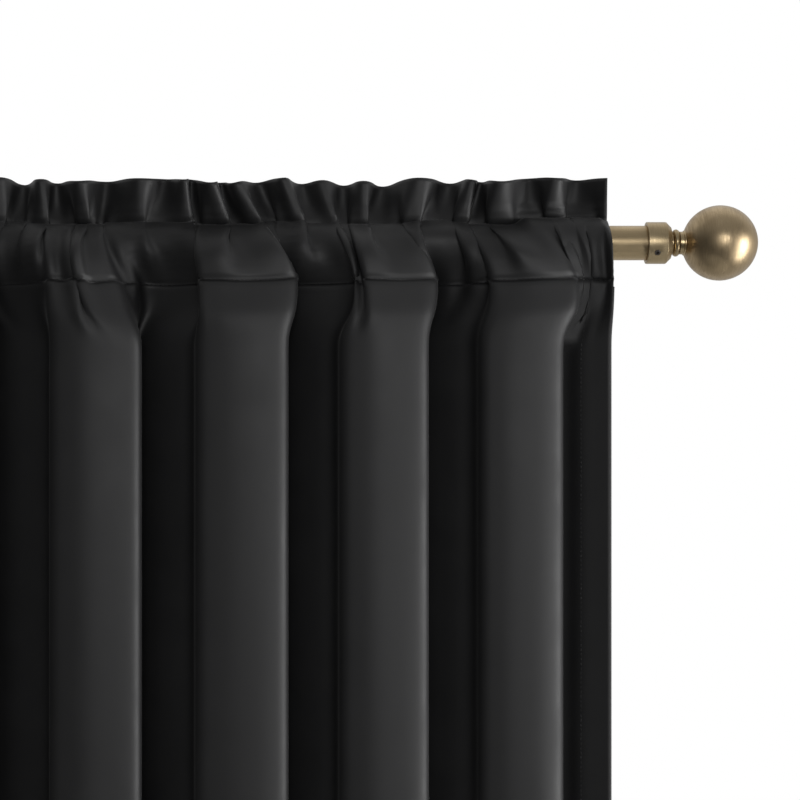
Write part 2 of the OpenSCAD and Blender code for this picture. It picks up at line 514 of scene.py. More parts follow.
@dataclass(frozen=True)
class ClothFinish:
    """Blackout cloth: tightly woven polyester with a faint satin sheen.

    Args:
        name: The material's name.
        slot: The record's material slot; not used.
        dark: Colour of the darkest yarns, and the painted shade in the gaps between the threads.
        light: Colour of the lightest yarns, and the painted light on top of the threads.
        roughness: How dull it is.
        sheen: How strong the soft glow at grazing light is.
        pitch: Distance between threads, in metres.
    """

    name: str
    slot: str
    dark: Colour
    light: Colour
    roughness: float = 0.55
    sheen: float = 0.06
    pitch: float = 0.0004

    def material(self) -> bpy.types.Material:
        """Builds the material.

        Returns:
            The new material.
        """
        made = bpy.data.materials.new(self.name)
        made.use_nodes = True
        n = Nodes(made.node_tree)
        shader = made.node_tree.nodes["Principled BSDF"]
        weave = n.add("Group", node_tree=WEAVE)
        weave.inputs["Thread Pitch"].default_value = self.pitch
        weave.inputs["Slub"].default_value = 0.8
        dust = n.add("Group", node_tree=DUST)
        dust.inputs["Amount"].default_value = 0.05
        place = n.add("TexCoord").outputs["Object"]
        cloud = n.add("TexNoise", {"Vector": place, "Scale": 34.0, "Detail": 4.0}).outputs[0]
        # Painted shade and light: the thread's height darkens the gaps between threads and lightens
        # their tops; the yarn share is real tone from yarn to yarn.
        yarn_tone_and_gap_shade = n.maths("ADD", n.maths("MULTIPLY", weave.outputs["Height"], 0.45),
                       n.maths("MULTIPLY", weave.outputs["Yarn"], 0.55))
        yarn_tone_and_gap_shade = n.maths("MULTIPLY", yarn_tone_and_gap_shade, n.spread(cloud, 0.3, 0.7, 0.8, 1.2))
        colour = n.blend(yarn_tone_and_gap_shade, rgba(self.dark), rgba(self.light))
        colour = n.blend(dust.outputs[0], colour, rgba((0.16, 0.155, 0.15)))
        links = made.node_tree.links
        links.new(colour, shader.inputs["Base Color"])
        rough = n.spread(cloud, 0.3, 0.7, self.roughness - 0.04, self.roughness + 0.04)
        links.new(rough, shader.inputs["Roughness"])
        bump = n.add("Bump", {"Height": weave.outputs["Height"], "Strength": 0.25,
                              "Distance": 0.00005})
        links.new(bump.outputs[0], shader.inputs["Normal"])
        shader.inputs["Specular IOR Level"].default_value = 0.5
        shader.inputs["Sheen Weight"].default_value = self.sheen
        shader.inputs["Sheen Roughness"].default_value = 0.35
        return made


@dataclass(frozen=True)
class MetalFinish:
    """Plated and brushed metal with dark patina in its hollows.

    Args:
        name: The material's name.
        slot: The record's material slot; not used.
        base: Colour of the clean metal.
        patina: Colour of the darkened metal.
        rubbed: Colour of its worn edges.
        grain: The way its fine lines run.
        roughness: How dull it is.
        depth: How much the patina and the lines show, from 0 to 1.
    """

    name: str
    slot: str
    base: Colour
    patina: Colour
    rubbed: Colour
    grain: Grain = Grain.DRAWN
    roughness: float = 0.32
    depth: float = 0.5

    def material(self) -> bpy.types.Material:
        """Builds the material.

        Returns:
            The new material.
        """
        made = bpy.data.materials.new(self.name)
        made.use_nodes = True
        n = Nodes(made.node_tree)
        shader = made.node_tree.nodes["Principled BSDF"]
        brushed = n.add("Group", node_tree=BRUSHED)
        for label, value in zip(("Along X", "Along Y", "Along Z"), self.grain.value):
            brushed.inputs[label].default_value = value
        dust = n.add("Group", node_tree=DUST)
        dust.inputs["Amount"].default_value = 0.12
        lines, patina, wear = (brushed.outputs[i] for i in range(3))
        share = n.maths("ADD", n.maths("MULTIPLY", lines, 0.5), n.maths("MULTIPLY", patina, 0.5))
        colour = n.blend(n.maths("MULTIPLY", share, self.depth), rgba(self.base), rgba(self.patina))
        colour = n.blend(wear, colour, rgba(self.rubbed))
        colour = n.blend(dust.outputs[0], colour, rgba((0.35, 0.33, 0.3)))
        links = made.node_tree.links
        links.new(colour, shader.inputs["Base Color"])
        spread = 0.16 * self.depth
        rough = n.spread(share, 0.2, 0.8, self.roughness - spread, self.roughness + spread)
        links.new(rough, shader.inputs["Roughness"])
        bump = n.add("Bump", {"Height": lines, "Strength": 0.12, "Distance": 0.00004})
        links.new(bump.outputs[0], shader.inputs["Normal"])
        shader.inputs["Metallic"].default_value = 1.0
        return made


BLACKOUT = ClothFinish("blackout_weave", "blackout_cloth",
                       (0.0085, 0.0085, 0.009), (0.0125, 0.0125, 0.013))
THREAD = ClothFinish("sewing_thread", "blackout_cloth",
                     (0.012, 0.012, 0.0125), (0.022, 0.022, 0.023), roughness=0.45, pitch=0.0003)
ROD_BRASS = MetalFinish("antique_brass_tube", "rod_brass", (0.58, 0.45, 0.27), (0.22, 0.155, 0.08),
                        (0.72, 0.62, 0.45), Grain.DRAWN, 0.34, 0.55)
COLLAR_BRASS = MetalFinish("antique_brass_collar", "collar_brass", (0.56, 0.44, 0.26),
                           (0.21, 0.145, 0.075), (0.74, 0.64, 0.46), Grain.TURNED, 0.34, 0.55)
FINIAL_BRASS = MetalFinish("antique_brass_ball", "finial_brass", (0.58, 0.45, 0.28),
                           (0.20, 0.14, 0.075), (0.74, 0.64, 0.48), Grain.TURNED, 0.37, 0.7)
BRONZE = MetalFinish("antique_bronze", "bracket_bronze", (0.34, 0.25, 0.16), (0.13, 0.09, 0.055),
                     (0.6, 0.47, 0.32), Grain.SATIN, 0.38, 0.75)
SCREW = MetalFinish("blackened_steel", "dark_screw", (0.16, 0.14, 0.13), (0.06, 0.055, 0.05),
                    (0.45, 0.42, 0.4), Grain.TURNED, 0.38, 0.6)
STEEL = MetalFinish("plain_steel", "plain_steel", (0.55, 0.55, 0.56), (0.36, 0.35, 0.34),
                    (0.75, 0.75, 0.76), Grain.SATIN, 0.3, 0.5)


class Paint:
    """Keeps one material of each finish, so that pieces share them."""

    made: dict[str, bpy.types.Material] = {}

    @classmethod
    def of(cls, finish: ClothFinish | MetalFinish) -> bpy.types.Material:
        """The finish's material, built the first time it is asked for."""
        if finish.name not in cls.made:
            cls.made[finish.name] = finish.material()
        return cls.made[finish.name]


def dress(piece: bpy.types.Object, finish: ClothFinish | MetalFinish, body: str,
          nodes: Sequence[str] = ()) -> None:
    """Gives a finished piece its material, its body and the CAD nodes that it stands for.

    Args:
        piece: The finished piece.
        finish: What it is made of.
        body: The CAD body that it rides on.
        nodes: The CAD nodes that it replaces.
    """
    piece.data.materials.clear()
    piece.data.materials.append(Paint.of(finish))
    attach(piece, body)
    if nodes:
        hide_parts(*nodes)
    LOG.info("%s: %d faces on %s", piece.name, len(piece.data.polygons), body)


# ---- Rod ----


@dataclass
class Rod:
    """The two tubes that slide in each other.

    Args:
        outer_radius: Radius of the outer, right tube.
        inner_radius: Radius of the inner, left tube.
        wall: Thickness of both tubes.
        overlap: Half the length on which they overlap.
        end: X of the outer tube's far end.
    """

    outer_radius: float = 12.7 * MM
    inner_radius: float = 11.1 * MM
    wall: float = 1.2 * MM
    overlap: float = 0.210
    end: float = 0.712

    def tube(self, name: str, first: float, last: float, radius: float) -> bpy.types.Object:
        """One tube with softened mouths.

        Args:
            name: The piece's name.
            first: X of its left end.
            last: X of its right end.
            radius: Its outer radius.

        Returns:
            The tube.
        """
        start = (first, ROD_Y, ROD_Z)
        piece = drum(name, radius, start, ALONG, last - first, sides=128, open_ends=True)
        add_modifier(piece, "SOLIDIFY", thickness=self.wall, offset=-1)
        outward(piece)
        soften(piece, 0.35 * MM, segments=3)
        shade(piece)
        return piece

    def build(self) -> None:
        """Makes both tubes."""
        outer = self.tube("rod_outer_tube", -self.overlap, self.end, self.outer_radius)
        dress(outer, ROD_BRASS, "rod", ["outer_tube"])
        inner = self.tube("rod_inner_tube", -self.end, self.overlap, self.inner_radius)
        dress(inner, ROD_BRASS, "inner_rod", ["inner_tube"])


# ---- Finials ----


@dataclass
class Finial:
    """A collar that slips over the tube's end, a beaded neck and a ball.

    Args:
        side: The end of the rod that it closes.
        start: X of the collar's open end, on the right side.
        collar_radius: Radius of the collar.
        flat: Length of the collar's straight part.
        length: The collar's whole length, its chamfer included.
        ball_radius: Radius of the ball.
        ball_centre: Distance of the ball's middle from the collar's open end.
        screw_at: Distance of the set screw from the collar's open end.
        screw_drop: How far below the level line the set screw sits, in degrees.
    """

    side: Side
    start: float = 698.7 * MM
    collar_radius: float = 15.4 * MM
    flat: float = 14.3 * MM
    length: float = 17.9 * MM
    ball_radius: float = 27.7 * MM
    ball_centre: float = 54.5 * MM
    screw_at: float = 6.5 * MM
    screw_drop: float = 33.0

    @property
    def body(self) -> str:
        """The CAD body of the finial."""
        return f"{self.side.word}_finial"

    @property
    def tube_radius(self) -> float:
        """Radius of the tube that the collar holds."""
        rod = Rod()
        return rod.outer_radius if self.side is Side.RIGHT else rod.inner_radius

    def turn(self, name: str, rings: Sequence[Ring]) -> bpy.types.Object:
        """A piece of the finial, turned round the rod's axis.

        Args:
            name: The piece's name without its side.
            rings: Distances from the collar's open end, with radii.

        Returns:
            The turned piece.
        """
        sign = self.side.value
        origin = (sign * self.start, ROD_Y, ROD_Z)
        return turned(f"{self.side.word}_{name}", rings, origin, Vector((sign, 0, 0)))

    def screw_line(self) -> tuple[Vector, Vector]:
        """The set screw's line: a point on the rod's axis and the direction outwards."""
        drop = math.radians(self.screw_drop)
        point = Vector((self.side.value * (self.start + self.screw_at), ROD_Y, ROD_Z))
        return point, Vector((0, -math.cos(drop), -math.sin(drop)))

    def collar(self) -> bpy.types.Object:
        """The collar, bored for the tube and drilled for its set screw."""
        r, bore, tiny = self.collar_radius, self.tube_radius + 0.05 * MM, 0.4 * MM
        rings = [(self.flat, bore), (tiny, bore), (0, bore + tiny), (0, r - tiny),
                 (0.15 * tiny, r - 0.4 * tiny), (tiny, r), (self.flat - tiny, r),
                 (self.flat + 0.3 * tiny, r - 0.35 * tiny),
                 (self.length - tiny, r - 3.2 * MM), (self.length - 0.2 * tiny, r - 3.5 * MM),
                 (self.length, r - 3.9 * MM)]
        piece = self.turn("collar", rings)
        point, out = self.screw_line()
        drill(piece, 2.25 * MM, point + out * bore * 0.9, out, r - bore * 0.9 + MM, sides=32)
        shade(piece, 24)
        return piece

    def neck(self) -> bpy.types.Object:
        """The neck: a groove, a round bead, a plain part and a thin ring against the ball."""
        bead = arc((21.95 * MM, 7.55 * MM), 2.45 * MM, 172, 8, 12)
        rings = [(self.length - 0.5 * MM, 7 * MM), (19.4 * MM, 7 * MM), *bead, (24.5 * MM, 8.4 * MM),
                 (27.1 * MM, 8.4 * MM), (27.3 * MM, 8.9 * MM), (27.7 * MM, 9.25 * MM),
                 (28.3 * MM, 9.25 * MM), (28.8 * MM, 8.8 * MM)]
        piece = self.turn("neck", rings)
        shade(piece, 28)
        return piece

    def ball(self) -> bpy.types.Object:
        """The ball, with the shallow seam where its two pressed halves meet."""
        left = arc((self.ball_centre, 0.0), self.ball_radius, 179.2, 90.6, 44)
        seam = [(self.ball_centre, self.ball_radius - 0.03 * MM)]
        right = arc((self.ball_centre, 0.0), self.ball_radius, 89.4, 0.8, 44)
        piece = self.turn("ball", left + seam + right)
        shade(piece, 40)
        return piece

    def set_screw(self) -> bpy.types.Object:
        """The headless screw with its six-sided socket."""
        point, out = self.screw_line()
        tip, head = self.tube_radius + 0.05 * MM, self.collar_radius + 0.2 * MM
        rings = [(tip, 1.2 * MM), (tip + 0.5 * MM, 1.95 * MM), (head - 0.3 * MM, 1.95 * MM),
                 (head, 1.7 * MM)]
        piece = turned(f"{self.side.word}_grub_screw", rings, point, out, sides=32)
        carve(piece, drum("key", 1.1 * MM, point + out * (head - 1.5 * MM), out, 3 * MM, sides=6))
        shade(piece, 25)
        return piece

    def stud(self) -> bpy.types.Object:
        """The threaded stud that joins collar, neck and ball."""
        rings = [(14.8 * MM, 2.4 * MM)]
        for k in range(18):
            rings += [((15.3 + 0.9 * k) * MM, 2.5 * MM), ((15.75 + 0.9 * k) * MM, 2.98 * MM)]
        piece = self.turn("stud", rings)
        shade(piece, 60)
        return piece

    def build(self) -> None:
        """Makes the whole finial."""
        side = self.side.word
        dress(self.collar(), COLLAR_BRASS, self.body, [f"{side}_finial_collar"])
        dress(self.neck(), COLLAR_BRASS, self.body, [f"{side}_finial_neck"])
        dress(self.ball(), FINIAL_BRASS, self.body, [f"{side}_finial_ball"])
        dress(self.stud(), STEEL, self.body, [f"{side}_finial_stud"])
        dress(self.set_screw(), SCREW, f"{side}_set_screw", [f"{side}_set_screw"])


# ---- Brackets ----


@dataclass
class Bracket:
    """A wall plate with a sleeve, a sliding arm with a cradle, and two knurled screws.

    Args:
        place: Where it stands along the rod.
        plate_width: Width of the wall plate.
        plate_height: Height of the wall plate.
        plate_thickness: Thickness of the wall plate.
        hole_reach: Distance of each screw hole from the plate's middle.
        sleeve_width: Outer width of the sleeve.
        sleeve_height: Outer height of the sleeve.
        sleeve_end: Y of the sleeve's open end.
        arm_width: Width of the arm.
        arm_height: Height of the arm.
        cradle_radius: Inner radius of the cradle.
        cradle_wall: Thickness of the cradle.
        cradle_width: Width of the cradle along the rod.
        lip: Height of the cradle's lips above the rod's axis.
        lock_y: Y of the lock screw.
        knob_radius: Radius of a screw's knurled knob.
        knob_height: Height of a screw's knurled knob.
        thread_hole: Radius of the holes that the screws go through.
    """

    place: Place
    plate_width: float = 22 * MM
    plate_height: float = 64 * MM
    plate_thickness: float = 3 * MM
    hole_reach: float = 22 * MM
    sleeve_width: float = 18 * MM
    sleeve_height: float = 10 * MM
    sleeve_end: float = -58 * MM
    arm_width: float = 14 * MM
    arm_height: float = 6 * MM
    cradle_radius: float = 12.9 * MM
    cradle_wall: float = 3 * MM
    cradle_width: float = 16 * MM
    lip: float = 6 * MM
    lock_y: float = -50 * MM
    knob_radius: float = 5 * MM
    knob_height: float = 6 * MM
    thread_hole: float = 2.05 * MM

    @property
    def x(self) -> float:
        """X of the bracket's middle."""
        return self.place.value

    def name(self, piece: str) -> str:
        """A piece's name with the bracket's place in front."""
        return f"{self.place.word}_{piece}"

    def wall_plate(self) -> bpy.types.Object:
        """The round-ended plate with its two countersunk screw holes."""
        half, reach = self.plate_width / 2, self.plate_height / 2
        piece = block(self.name("bracket_plate"), (self.x - half, -self.plate_thickness, -reach),
                      (self.x + half, 0, reach))
        points = piece.data.vertices

        def upright(edge: bpy.types.MeshEdge) -> bool:
            """Whether an edge runs through the plate's thickness.

            Args:
                edge: The edge.

            Returns:
                Whether it is rounded.
            """
            a, b = (points[i].co for i in edge.vertices)
            return abs(a.y - b.y) > 0.5 * self.plate_thickness

        select(piece, "EDGE", upright)
        bpy.ops.mesh.bevel(offset=half * 0.995, segments=14)
        bpy.ops.object.mode_set(mode="OBJECT")
        outward(piece)
        for up in (-1, 1):
            drill(piece, 2.5 * MM, (self.x, MM, up * self.hole_reach), OUT, 6 * MM, sides=32)
            sink = [(0, 2.5 * MM), (2.2 * MM, 4.7 * MM), (3 * MM, 5.5 * MM)]
            mouth = (self.x, -1.2 * MM, up * self.hole_reach)
            carve(piece, turned("countersink", sink, mouth, OUT, sides=32))
        soften(piece, 0.5 * MM)
        shade(piece)
        return piece

    def sleeve(self) -> bpy.types.Object:
        """The square sleeve, with its weld at the plate and the boss of its lock screw."""
        w, h = self.sleeve_width / 2, self.sleeve_height / 2
        back = -self.plate_thickness
        piece = block(self.name("bracket_sleeve"), (self.x - w, self.sleeve_end, -h),
                      (self.x + w, back, h))
        soften(piece, 1.2 * MM, segments=3)
        weld = block("weld", (self.x - w - MM, back - 1.8 * MM, -h - MM),
                     (self.x + w + MM, back, h + MM))
        soften(weld, 0.8 * MM)
        carve(piece, weld, "UNION")
        boss = drum("boss", 4 * MM, (self.x, self.lock_y, -h - 4 * MM), UP, 5 * MM, sides=40)
        carve(piece, boss, "UNION")
        bore_w, bore_h = self.arm_width / 2 + 0.2 * MM, self.arm_height / 2 + 0.2 * MM
        carve(piece, block("bore", (self.x - bore_w, self.sleeve_end - MM, -bore_h),
                           (self.x + bore_w, back - 0.2 * MM, bore_h)))
        drill(piece, self.thread_hole, (self.x, self.lock_y, -h - 6 * MM), UP, 9 * MM)
        soften(piece, 0.3 * MM, segments=1, angle=60)
        shade(piece)
        return piece

    def arm(self) -> bpy.types.Object:
        """The sliding bar, with a long pressed groove in its top."""
        w, h = self.arm_width / 2, self.arm_height / 2
        piece = block(self.name("bracket_bar"), (self.x - w, ROD_Y - 7 * MM, -h),
                      (self.x + w, -16 * MM, h))
        select(piece, "FACE", lambda face: face.normal.z > 0.9)
        bpy.ops.mesh.inset(thickness=4 * MM)
        bpy.ops.mesh.extrude_region_move(TRANSFORM_OT_translate={"value": (0, 0, -0.6 * MM)})
        bpy.ops.object.mode_set(mode="OBJECT")
        drill(piece, self.thread_hole, (self.x, ROD_Y, -2 * h), UP, 4 * h)
        soften(piece, 0.5 * MM)
        shade(piece)
        return piece

    def cradle(self) -> bpy.types.Object:
        """The U of flat bar that the rod lies in, on its foot."""
        half = self.cradle_width / 2
        start = (self.x - half, ROD_Y, ROD_Z)
        piece = drum(self.name("bracket_cradle"), self.cradle_radius, start, ALONG,
                     self.cradle_width, sides=64, open_ends=True)
        select(piece, "FACE", lambda face: True)
        bpy.ops.mesh.bisect(plane_co=(self.x, ROD_Y, ROD_Z), plane_no=(0, 0, 1), clear_outer=True)
        bpy.ops.object.mode_set(mode="OBJECT")
        select(piece, "VERT", lambda point: abs(point.co.z - ROD_Z) < 1e-5)
        bpy.ops.mesh.extrude_region_move(TRANSFORM_OT_translate={"value": (0, 0, self.lip)})
        bpy.ops.object.mode_set(mode="OBJECT")
        outward(piece)
        add_modifier(piece, "SOLIDIFY", thickness=self.cradle_wall, offset=1)
        outward(piece)
        low = ROD_Z - self.cradle_radius - self.cradle_wall
        foot = block("foot", (self.x - half + 0.3 * MM, ROD_Y - 6.9 * MM, low),
                     (self.x + half - 0.3 * MM, ROD_Y + 6.9 * MM, low + 2 * MM))
        carve(piece, foot, "UNION")
        drill(piece, self.thread_hole, (self.x, ROD_Y, low - MM), UP, 7 * MM)
        soften(piece, 0.45 * MM)
        shade(piece)
        return piece

    def knob(self, name: str, y: float, top: float, tip: float) -> bpy.types.Object:
        """A screw with a threaded shank and a knurled, dished knob under it.

        Args:
            name: The piece's name without its place.
            y: Y of the screw's axis.
            top: Z of the knob's top.
            tip: Z of the shank's tip.

        Returns:
            The screw.
        """
        r, h, sides = self.knob_radius, self.knob_height, 48
        rings = [(0, r - 2.2 * MM), (0, r - 0.9 * MM), (0.5 * MM, r), (h - 0.5 * MM, r),
                 (h, r - 0.6 * MM), (h, 2.1 * MM), (h + 0.25 * MM, 1.7 * MM)]
        height = h + 0.25 * MM
        length = tip - top + h
        while height < length - 0.9 * MM:
            rings += [(height + 0.3 * MM, 1.98 * MM), (height + 0.6 * MM, 1.7 * MM)]
            height += 0.6 * MM
        rings.append((length, 1.4 * MM))
        piece = turned(self.name(name), rings, (self.x, y, top - h), UP, sides=sides)
        step = math.tau / sides

        def on_groove(point: bpy.types.MeshVertex) -> bool:
            """Whether a point is on the knob's rim, on every other side.

            Args:
                point: The point.

            Returns:
                Whether it is pressed in.
            """
            across = Vector((point.co.x - self.x, point.co.y - y))
            turn = round(math.atan2(across.y, across.x) / step)
            return across.length > r - 0.1 * MM and turn % 2 == 0

        select(piece, "VERT", on_groove)
        bpy.ops.transform.resize(value=(0.93, 0.93, 1), center_override=(self.x, y, top))
        bpy.ops.object.mode_set(mode="OBJECT")
        select(piece, "FACE", lambda face: face.normal.z < -0.9 and face.area > 8 * MM * MM)
        bpy.ops.mesh.inset(thickness=0.7 * MM)
        bpy.ops.mesh.extrude_region_move(TRANSFORM_OT_translate={"value": (0, 0, 0.6 * MM)})
        bpy.ops.object.mode_set(mode="OBJECT")
        outward(piece)
        shade(piece, 18)
        return piece

    def build(self) -> None:
        """Makes the whole bracket."""
        place = self.place.word
        held = Rod().inner_radius if self.place is Place.LEFT else Rod().outer_radius
        dress(self.wall_plate(), BRONZE, "wall_brackets", [f"{place}_wall_plate"])
        dress(self.sleeve(), BRONZE, "wall_brackets", [f"{place}_arm_sleeve"])
        arm_body = f"{place}_bracket_arm"
        dress(self.arm(), BRONZE, arm_body, [f"{place}_arm"])
        dress(self.cradle(), BRONZE, arm_body, [f"{place}_cradle"])
        under = -self.arm_height / 2
        boss_low = -self.sleeve_height / 2 - 4.3 * MM
        lock = self.knob("bracket_lock_screw", self.lock_y, boss_low, under - 0.05 * MM)
        dress(lock, SCREW, f"{place}_lock_screw", [f"{place}_lock_screw"])
        thumb = self.knob("bracket_thumb_screw", ROD_Y, under - 0.3 * MM, ROD_Z - held - 0.05 * MM)
        dress(thumb, SCREW, f"{place}_thumb_screw", [f"{place}_thumb_screw"])


# ---- Curtains ----

Lines = np.ndarray


def along(points: Lines, count: int) -> Lines:
    """Evenly spaced points along a line.

    Args:
        points: The line's points, one a row.
        count: How many points to return.

    Returns:
        The new points.
    """
    steps = np.linalg.norm(np.diff(points, axis=0), axis=1)
    run = np.concatenate([[0.0], np.cumsum(steps)])
    at = np.linspace(0.0, run[-1], count)
    return np.stack([np.interp(at, run, points[:, k]) for k in range(points.shape[1])], 1)


def through(points: Sequence[Sequence[float]] | Lines, per: int = 24) -> Lines:
    """A smooth line through points.

    Args:
        points: The points that it passes.
        per: How many steps it takes between two of them.

    Returns:
        The line's points.
    """
    p = np.array(points, float)
    p = np.vstack([2 * p[0] - p[1], p, 2 * p[-1] - p[-2]])
    t = np.linspace(0, 1, per, endpoint=False)[:, None]
    spans = [
        0.5 * (2 * b + (c - a) * t + (2 * a - 5 * b + 4 * c - d) * t**2
               + (3 * b - a - 3 * c + d) * t**3)
        for a, b, c, d in zip(p, p[1:], p[2:], p[3:])
    ]
    return np.vstack([*spans, p[-2][None]])


def ripple(rng: np.random.Generator, count: int, knots: int) -> Lines:
    """Smooth random values from about -1 to 1.

    Args:
        rng: The random numbers to draw from.
        count: How many values to return.
        knots: How many random values they pass through.

    Returns:
        The values.
    """
    line = through(np.stack([np.linspace(0, 1, knots), rng.uniform(-1, 1, knots)], 1), 16)
    return np.interp(np.linspace(0, 1, count), line[:, 0], line[:, 1])


def eased(share: float) -> float:
    """A share from 0 to 1 that starts and ends gently."""
    share = min(1.0, max(0.0, share))
    return share * share * (3 - 2 * share)


@dataclass
class PanelPlan:
    """The cut of a panel and the lines that its gathers follow, before the cloth settles.

    Its own frame has x from the panel's outer edge inwards, y into the wall and z up, from the
    rod's axis.

    Args:
        width: Flat width of the panel.
        hung: Width of the panel on the rod.
        folds: Distance of each fold's front edge from the outer edge.
        heading: Height of the ruffle above the pocket.
        pocket: Height of one layer of the pocket, flat.
        pocket_top: Height of the upper stitch line above the axis.
        pocket_low: Depth of the lower stitch line below the axis.
        drop: Length below the lower stitch line.
        settled: How much of the drop is simulated.
        columns: How many points a row has.
        rod_radius: Radius of the rod that the pocket goes round.
    """

    width: float = 1.067
    hung: float = 0.660
    folds: tuple[float, ...] = (0.0372, 0.1338, 0.2345, 0.3400, 0.4490, 0.5590)
    heading: float = 0.0325
    pocket: float = 0.058
    pocket_top: float = 0.0135
    pocket_low: float = 0.030
    drop: float = 1.522
    settled: float = 0.330
    columns: int = 385
    rod_radius: float = 0.0127

    def heights(self) -> tuple[Lines, int, int]:
        """Sets out the rows of the cloth, finer near the rod.

        Returns:
            The rows' distances down the cloth, and the rows of the upper and lower stitch line.
        """
        head = np.linspace(0, self.heading, 13)
        pocket = self.heading + np.linspace(0, self.pocket, 21)[1:]
        drop, step = [0.0], 0.0029
        while drop[-1] < self.settled:
            drop.append(drop[-1] + step)
            if drop[-1] > 0.09:
                step = min(step * 1.06, 0.0075)
        rows = np.concatenate([head, pocket, pocket[-1] + np.array(drop[1:])])
        return rows, len(head) - 1, len(head) + len(pocket) - 1

    def drop_line(self, rng: np.random.Generator) -> Lines:
        """The line of the hanging folds, seen from above.

        Args:
            rng: The random numbers that make each fold a little different.

        Returns:
            The line's points, evenly spaced.
        """
        points: list[Ring] = [(0.003, -0.0290), (0.013, -0.0245), (0.025, -0.0190), (0.033, -0.012)]
        ends = (*self.folds[1:], self.hung)
        for k, (x0, x1) in enumerate(zip(self.folds, ends)):
            pitch = x1 - x0
            tip = -0.034 + rng.uniform(-0.002, 0.002)
            front = tip - 0.0105 + rng.uniform(-0.0015, 0.0015)
            left = x0 + (0.61 + rng.uniform(-0.03, 0.03)) * pitch
            tuck = -0.008 if k == 0 else 0.004
            points += [
                (x0 + 0.011, tuck), (x0 + 0.0085, -0.008), (x0 + 0.0040, -0.021),
                (x0 + 0.0006, tip + 0.003), (x0 + 0.0018, tip - 0.0022), (x0 + 0.0080, tip - 0.0058),
                (x0 + 0.0200, tip - 0.0090),
                (x0 + 0.0380, front), (left - 0.010, front + 0.0024), (left - 0.002, front + 0.0048),
                (left + 0.0008, front + 0.0090), (left + 0.0012, tip + 0.006), (left + 0.005, -0.019),
                (left + 0.016, -0.013), (x1 - 0.006, -0.005),
            ]
        points[-1] = (self.hung, -0.004)
        line = along(through(points), self.columns)
        middle = line[:, 1].mean()
        line[:, 1] = middle + self.fit(line[:, 0], line[:, 1] - middle)
        return along(line, self.columns)

    def head_line(self, rng: np.random.Generator) -> Lines:
        """The line of the fine gathers at the rod, seen from above.

        Args:
            rng: The random numbers that make the gathers uneven.

        Returns:
            The line's points, evenly spaced and as long as the cloth is wide.
        """
        at, x = [0.003, 0.027], 0.027
        while x < self.hung:
            x += rng.choice([0.6, 0.8, 1.1, 1.5]) * rng.uniform(0.85, 1.15) * 0.0175
            at.append(x)
        xs = np.array(at) / at[-1] * self.hung
        sign = np.where(np.arange(len(xs)) % 2, 1.0, -1.0)
        depth = rng.uniform(0.5, 1.4, len(xs)) * sign
        xs[1:-1] += sign[1:-1] * 0.005 * rng.uniform(-0.3, 1.0, len(xs) - 2)
        depth[[0, -1]] = -0.5, 0.0
        low, high = 0.004, 0.03
        for _ in range(30):
            middle = (low + high) / 2
            line = through(np.stack([xs, depth * middle], 1), 16)
            short = np.linalg.norm(np.diff(line, axis=0), axis=1).sum() < self.width
            low, high = (middle, high) if short else (low, middle)
        return along(line, self.columns)

    def fit(self, x: Lines, y: Lines) -> Lines:
        """Deepens or flattens a row's gathers until the row is as long as the cloth is wide.

        Args:
            x: The row's x.
            y: The row's y, measured from its middle line.

        Returns:
            The new y.
        """
        low, high = 0.3, 3.0
        for _ in range(24):
            middle = (low + high) / 2
            length = np.hypot(np.diff(x), np.diff(y * middle)).sum()
            low, high = (middle, high) if length < self.width else (low, middle)
        return y * low

    def start(self, rng: np.random.Generator) -> tuple[Lines, Lines]:
        """The gathered cloth before it settles.

        Args:
            rng: The random numbers to draw from.

        Returns:
            The front layer with heading and drop, and the pocket's back layer.
        """
        rows, upper, lower = self.heights()
        drop, head = self.drop_line(rng), self.head_line(rng)
        inside = np.minimum(drop[:, 0], self.hung - drop[:, 0])
        calm = np.clip(inside / 0.04, 0, 1)
        tilt = 0.35 * calm * ripple(rng, self.columns, 13)
        lean = 0.10 + 0.30 * calm * ripple(rng, self.columns, 15)
        slant = 0.42 * calm * ripple(rng, self.columns, 24)
        mean_y = float(drop[:, 1].mean())
        room = self.rod_radius + 0.0015 + 0.5 * float(np.abs(head[:, 1]).max())
        front = np.zeros((len(rows), self.columns, 3))
        back = np.zeros((lower - upper + 1, self.columns, 3))

        def mixed(share: float, shift: float) -> tuple[Lines, Lines]:
            """A row part way from the gathers at the rod to the folds of the drop.

            Args:
                share: How far it is on its way to the folds.
                shift: How far the slant has carried it sideways.

            Returns:
                The row's x and y.
            """
            x = (1 - share) * head[:, 0] + share * drop[:, 0] + shift * slant
            y = (1 - share) * head[:, 1] + share * (drop[:, 1] - mean_y)
            return x, self.fit(x, y) + share * mean_y

        for i, down in enumerate(rows):
            if i <= upper:
                up = self.heading - down
                front[i, :, 0] = head[:, 0] + tilt * up
                front[i, :, 1] = head[:, 1] - np.sin(lean) * up
                front[i, :, 2] = self.pocket_top + np.cos(lean) * up
                continue
            below = down - self.heading
            if i <= lower:
                t = below / self.pocket
                share, shift = 0.9 * t**1.3, self.pocket * t
                z = self.pocket_top - (self.pocket_top + self.pocket_low) * t
                bulge = room * math.sin(math.pi * t) ** 0.7 if t < 1 else 0.0
                x, y = mixed(share, shift)
                back[i - upper] = np.stack([x, y + bulge, np.full_like(x, z)], 1)
                y = y - bulge
            else:
                under = below - self.pocket
                ease = eased(under / 0.045)
                x, y = mixed(0.9 + 0.1 * ease, self.pocket * (1 - ease))
                z = -self.pocket_low - under
            front[i] = np.stack([x, y, np.full_like(x, z)], 1)
        back[0], back[-1] = front[upper], front[lower]
        return front, back


